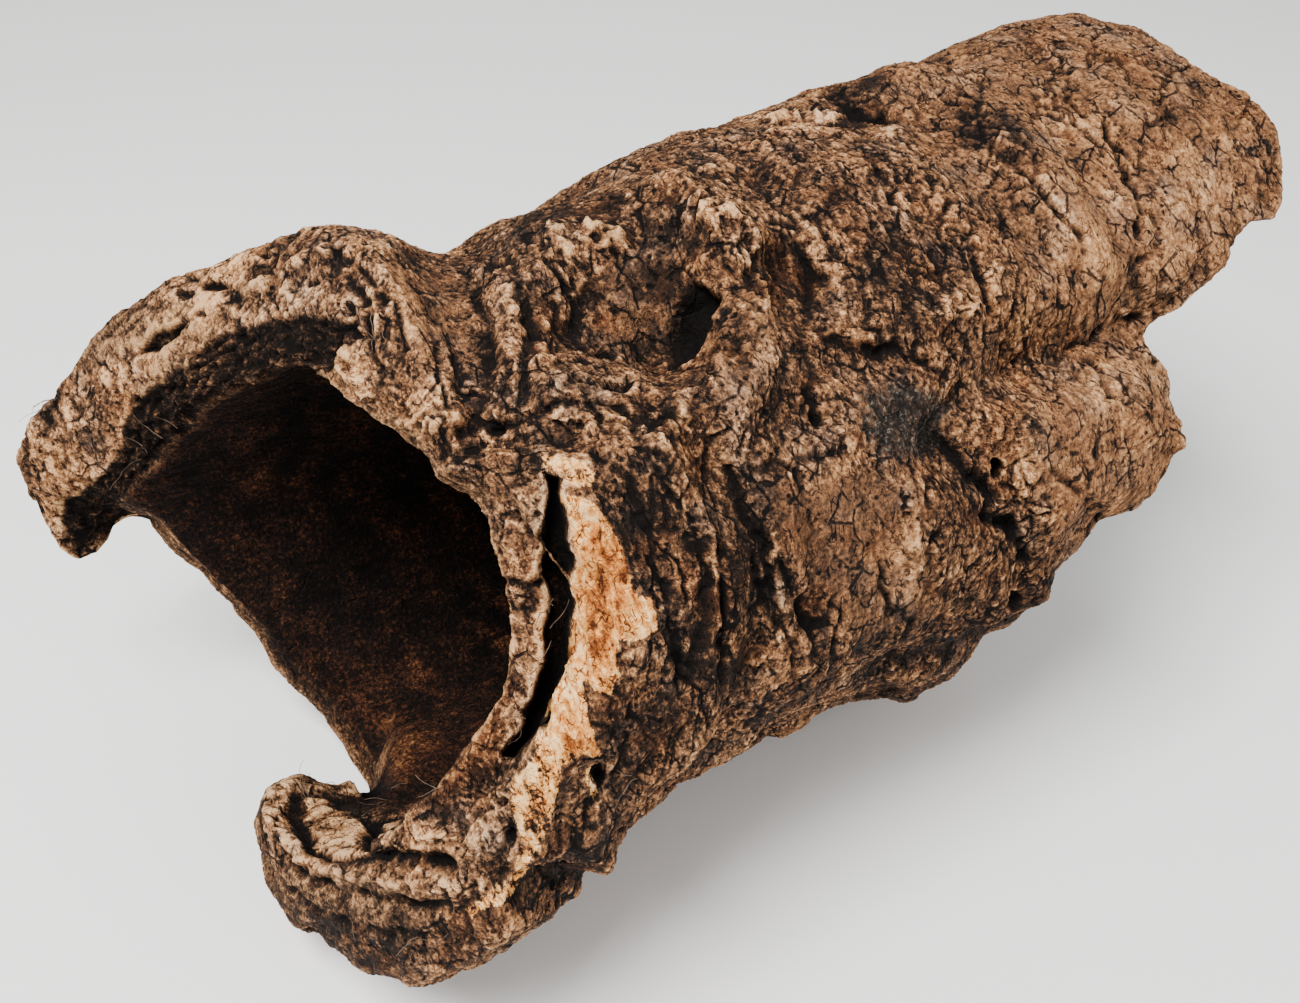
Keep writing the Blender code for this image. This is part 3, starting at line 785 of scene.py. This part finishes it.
# Grey and red-brown areas among the brown
hue_grain = add(tree, "ShaderNodeTexNoise", {
    "Vector": spot, "Scale": 1 / (12 * MM), "Detail": 4.0, "Roughness": 0.65})
grey_colour = add(tree, "ShaderNodeValToRGB", {"Fac": light}, stops=(
    (0.0, "#0D0B0A"), (0.5, "#53443A"), (1.0, "#B9A089")))
red_colour = add(tree, "ShaderNodeValToRGB", {"Fac": light}, stops=(
    (0.0, "#120906"), (0.5, "#6E4023"), (1.0, "#DA9C62")))
greyed = add(tree, "ShaderNodeMapRange", {
    "Value": hue_grain, "From Min": 0.52, "From Max": 0.70, "To Max": 0.5})
reddened = add(tree, "ShaderNodeMapRange", {
    "Value": hue_grain, "From Min": 0.48, "From Max": 0.32, "To Max": 0.45})
reddening_stain_and_light = add(tree, "ShaderNodeMath", {0: reddened, 1: marks["stain_and_light"]}, operation="MAXIMUM")
outer_colour = add(tree, "ShaderNodeMix", {
    0: greyed, 6: outer_colour, 7: grey_colour}, out=2, data_type="RGBA")
outer_colour = add(tree, "ShaderNodeMix", {
    0: reddening_stain_and_light, 6: outer_colour, 7: red_colour}, out=2, data_type="RGBA")
# Grey fuzz of mould in one spot
mould_colour = add(tree, "ShaderNodeValToRGB", {"Fac": crumb_grain}, stops=(
    (0.35, "#12100E"), (0.52, "#2A2623"), (0.60, "#46403A"), (0.72, "#8C8276")))
mould_edge = add(tree, "ShaderNodeMath", {
    0: crumb_grain, 1: 1.2, 2: marks["mould"]}, operation="MULTIPLY_ADD")
mould_cover = add(tree, "ShaderNodeMapRange", {
    "Value": mould_edge, "From Min": 0.85, "From Max": 1.50, "To Max": 0.85})
outer_colour = add(tree, "ShaderNodeMix", {
    0: mould_cover, 6: outer_colour, 7: mould_colour}, out=2, data_type="RGBA")

# Torn cork of the lip: dark, with paler layers of growth
torn_light = -1.46
# Painted shade of cracks and holes darkens it as well
for pattern, weight in (
        (crumb_grain, 1.5), (fibre_grain, 0.8), (fleck_grain, 0.7), (marks["layers"], 0.35),
        (marks["hollow"], 0.6), (marks["tone_and_light"], 1.2), (marks["crevice_shade"], -0.5)):
    torn_light = add(
        tree, "ShaderNodeMath", {0: pattern, 1: weight, 2: torn_light}, operation="MULTIPLY_ADD")
torn_colour = add(tree, "ShaderNodeValToRGB", {"Fac": torn_light}, stops=(
    (0.1, "#0B0705"), (0.36, "#22160F"), (0.62, "#5B3F2B"), (0.95, "#B58A60")))

# Inner face: dark red-brown dust
inner_light = -1.32
# It is paler where the painted pool of light lies just inside the mouth
for pattern, weight in (
        (crumb_grain, 1.6), (broad_grain, 0.8), (fleck_grain, 0.4), (marks["hollow"], 0.5),
        (marks["stain_and_light"], 0.10)):
    inner_light = add(
        tree, "ShaderNodeMath", {0: pattern, 1: weight, 2: inner_light}, operation="MULTIPLY_ADD")
inner_colour = add(tree, "ShaderNodeValToRGB", {"Fac": inner_light}, stops=(
    (0.2, "#080504"), (0.45, "#1E110B"), (0.7, "#4A2A19"), (1.0, "#8E6038")))

# Fresh cork: warm tan with red-brown streaks; the fine grain breaks up its edge
fresh_light = -1.57
for pattern, weight in (
        (broad_grain, 0.8), (fibre_grain, 2.2), (crumb_grain, 1.1), (marks["tone_and_light"], 0.3),
        (marks["hollow"], 0.4), (marks["stain_and_light"], -0.30), (strokes, -0.45)):
    fresh_light = add(
        tree, "ShaderNodeMath", {0: pattern, 1: weight, 2: fresh_light}, operation="MULTIPLY_ADD")
fresh_colour = add(tree, "ShaderNodeValToRGB", {"Fac": fresh_light}, stops=(
    (0.05, "#46230F"), (0.28, "#8A4A1E"), (0.52, "#C97C38"), (0.78, "#EFAA5E"), (1.0, "#FFD092")))
fresh_edge = marks["fresh"]
for pattern, weight in ((crumb_grain, 1.0), (fibre_grain, 0.8)):
    fresh_edge = add(
        tree, "ShaderNodeMath", {0: pattern, 1: weight, 2: fresh_edge}, operation="MULTIPLY_ADD")
fresh_cover = add(tree, "ShaderNodeMapRange", {
    "Value": fresh_edge, "From Min": 1.38, "From Max": 1.50})

finish = outer_colour
for cover, next_colour in (
        (marks["inner"], inner_colour), (marks["torn"], torn_colour), (fresh_cover, fresh_colour)):
    finish = add(tree, "ShaderNodeMix", {
        0: cover, 6: finish, 7: next_colour}, out=2, data_type="RGBA")
# Painted shade of cracks, holes and the gap lies over all of them and leaves a little of the grain
# to be seen
crevice_shade_cover = add(tree, "ShaderNodeMath", {0: marks["crevice_shade"], 1: 0.8}, operation="MULTIPLY")
finish = add(tree, "ShaderNodeMix", {
    0: crevice_shade_cover, 6: finish, 7: colour("#0B0807")}, out=2, data_type="RGBA")
tree.links.new(finish, shader.inputs["Base Color"])
shader.inputs["Roughness"].default_value = 0.88
shader.inputs["Specular IOR Level"].default_value = 0.1

# Relief too fine for the mesh, up to 0.9 mm
rough_height = 0.0
for pattern, weight in (
        (fibre_grain, 0.9), (crumb_grain, 1.0), (strokes, -0.3), (plate_lines, -0.4),
        (pores, -0.5)):
    rough_height = add(
        tree, "ShaderNodeMath", {0: pattern, 1: weight, 2: rough_height}, operation="MULTIPLY_ADD")
bump = add(tree, "ShaderNodeBump", {
    "Height": rough_height, "Strength": 1.0, "Distance": 0.9 * MM})
tree.links.new(bump, shader.inputs["Normal"])

# The wall is far finer than one piece may be, so it is kept as four closed lengths
# that meet face to face. Each keeps the normals of the whole, so no joint shows.
LENGTHS = ("bark_mouth", "bark_knot", "bark_middle", "bark_far_end")
joints = np.quantile(places[:, 0], [k / len(LENGTHS) for k in range(1, len(LENGTHS))]).round()
for index, name in enumerate(LENGTHS):
    length = bmesh.new()
    length.from_mesh(wall_mesh)
    for side, joint in ((-1, index - 1), (1, index)):
        if 0 <= joint < len(joints):
            cut = bmesh.ops.bisect_plane(
                length, geom=length.verts[:] + length.edges[:] + length.faces[:],
                plane_co=(joints[joint] * MM, 0, 0), plane_no=(side, 0, 0), clear_outer=True)
            rim = [part for part in cut["geom_cut"] if isinstance(part, bmesh.types.BMEdge)]
            bmesh.ops.triangle_fill(length, edges=rim, use_beauty=True)
    for face_part in length.faces:
        face_part.smooth = True
    length_mesh = bpy.data.meshes.new(name)
    length.to_mesh(length_mesh)
    length.free()
    length_normals = np.empty(len(length_mesh.vertices) * 3)
    length_mesh.attributes["smooth_normal"].data.foreach_get("vector", length_normals)
    length_mesh.attributes.remove(length_mesh.attributes["smooth_normal"])
    length_normals = length_normals.reshape(-1, 3)
    length_normals /= np.linalg.norm(length_normals, axis=1)[:, None]
    length_mesh.normals_split_custom_set_from_vertices(length_normals)
    length_mesh.materials.append(weathered_cork)
    piece = bpy.data.objects.new(name, length_mesh)
    bpy.context.collection.objects.link(piece)
    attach(piece, "root")
    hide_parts("bark")
bpy.data.meshes.remove(wall_mesh)

# Root hairs. Dead rootlets, 0.2 mm thick, that cling to the edges of the lip. Each is
# a thin curve that starts on the bark and wanders off it. The first number below is
# how many start on the line drawn on the picture.
HAIR_LINES = (
    (9, ((370, 812), (400, 792), (430, 780), (446, 790))),
    (5, ((300, 800), (330, 790), (360, 800))),
    (5, ((372, 310), (376, 340), (380, 366))),
    (7, ((548, 600), (552, 650), (540, 690), (520, 730))),
    (6, ((330, 900), (400, 930), (450, 950))),
    (4, ((600, 760), (640, 780), (655, 800))),
    (4, ((130, 470), (160, 440), (190, 420))),
    (3, ((55, 400), (60, 396))),
)
HAIR_RADIUS = 0.1  # mm
HAIR_STEP = 1.5  # mm
chance = random.Random(4)
hair_curve = bpy.data.curves.new("root_hairs", "CURVE")
hair_curve.dimensions = "3D"
hair_curve.bevel_depth = HAIR_RADIUS * MM
hair_curve.bevel_resolution = 1
hair_curve.use_fill_caps = True
for count, line in HAIR_LINES:
    roots = traced(line)
    for _ in range(count):
        place = Vector(roots[chance.randrange(len(roots))])
        way = Vector((
            chance.uniform(-0.9, 0.1), chance.uniform(-0.6, 0.6), chance.uniform(0.0, 1.0)))
        way.normalize()
        strand = hair_curve.splines.new("POLY")
        strand.points.add(chance.randint(4, 8))
        for knot_index, knot in enumerate(strand.points):
            knot.co = (*(place * MM), 1.0)
            knot.radius = 1.0 - 0.07 * knot_index
            bend = Vector([chance.uniform(-0.4, 0.4) for _ in range(3)])
            way = (way + bend + Vector((0, 0, -0.12))).normalized()
            place = place + way * HAIR_STEP
root_hairs = bpy.data.objects.new("root_hairs", hair_curve)
bpy.context.collection.objects.link(root_hairs)
dry_root = bpy.data.materials.new("dry_root")
dry_root.use_nodes = True
tree = dry_root.node_tree
shader = tree.nodes["Principled BSDF"]
root_grain = add(tree, "ShaderNodeTexNoise", {
    "Vector": add(tree, "ShaderNodeTexCoord", out="Object"), "Scale": 1 / (2 * MM), "Detail": 2.0})
tree.links.new(add(tree, "ShaderNodeValToRGB", {"Fac": root_grain}, stops=(
    (0.35, "#2A1E16"), (0.65, "#6A523D"))), shader.inputs["Base Color"])
shader.inputs["Roughness"].default_value = 0.8
hair_curve.materials.append(dry_root)
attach(root_hairs, "root")

# Floor and light. A plain pale floor that runs off into a pale room, one big soft
# lamp from the upper left and a weak one from the near side.
FLOOR_REACH = 3.0  # metres
floor_mesh = bpy.data.meshes.new("floor")
floor_shape = bmesh.new()
bmesh.ops.create_grid(floor_shape, x_segments=1, y_segments=1, size=FLOOR_REACH)
floor_shape.to_mesh(floor_mesh)
floor_shape.free()
floor = bpy.data.objects.new("floor", floor_mesh)
bpy.context.collection.objects.link(floor)
white_card = bpy.data.materials.new("white_card")
white_card.use_nodes = True
card_shader = white_card.node_tree.nodes["Principled BSDF"]
card_shader.inputs["Base Color"].default_value = colour("#F6F5F3")
card_shader.inputs["Roughness"].default_value = 0.9
floor_mesh.materials.append(white_card)

room = bpy.data.worlds.new("room")
room.use_nodes = True
room.node_tree.nodes["Background"].inputs["Color"].default_value = colour("#FFFFFF")
room.node_tree.nodes["Background"].inputs["Strength"].default_value = 0.75
bpy.context.scene.world = room


LAMP_GOAL = Vector((0.0, 0.0, 0.08))


def soft_lamp(name, place, size, power):
    """Square area lamp that faces the bark."""
    lamp_data = bpy.data.lights.new(name, "AREA")
    lamp_data.size = size
    lamp_data.energy = power
    lamp = bpy.data.objects.new(name, lamp_data)
    lamp.location = place
    lamp.rotation_euler = (LAMP_GOAL - Vector(place)).to_track_quat("-Z", "Y").to_euler()
    bpy.context.collection.objects.link(lamp)


soft_lamp("key_lamp", (-0.45, -0.15, 1.05), 0.5, 24.0)
soft_lamp("fill_lamp", (0.25, -0.95, 0.55), 0.8, 4.0)
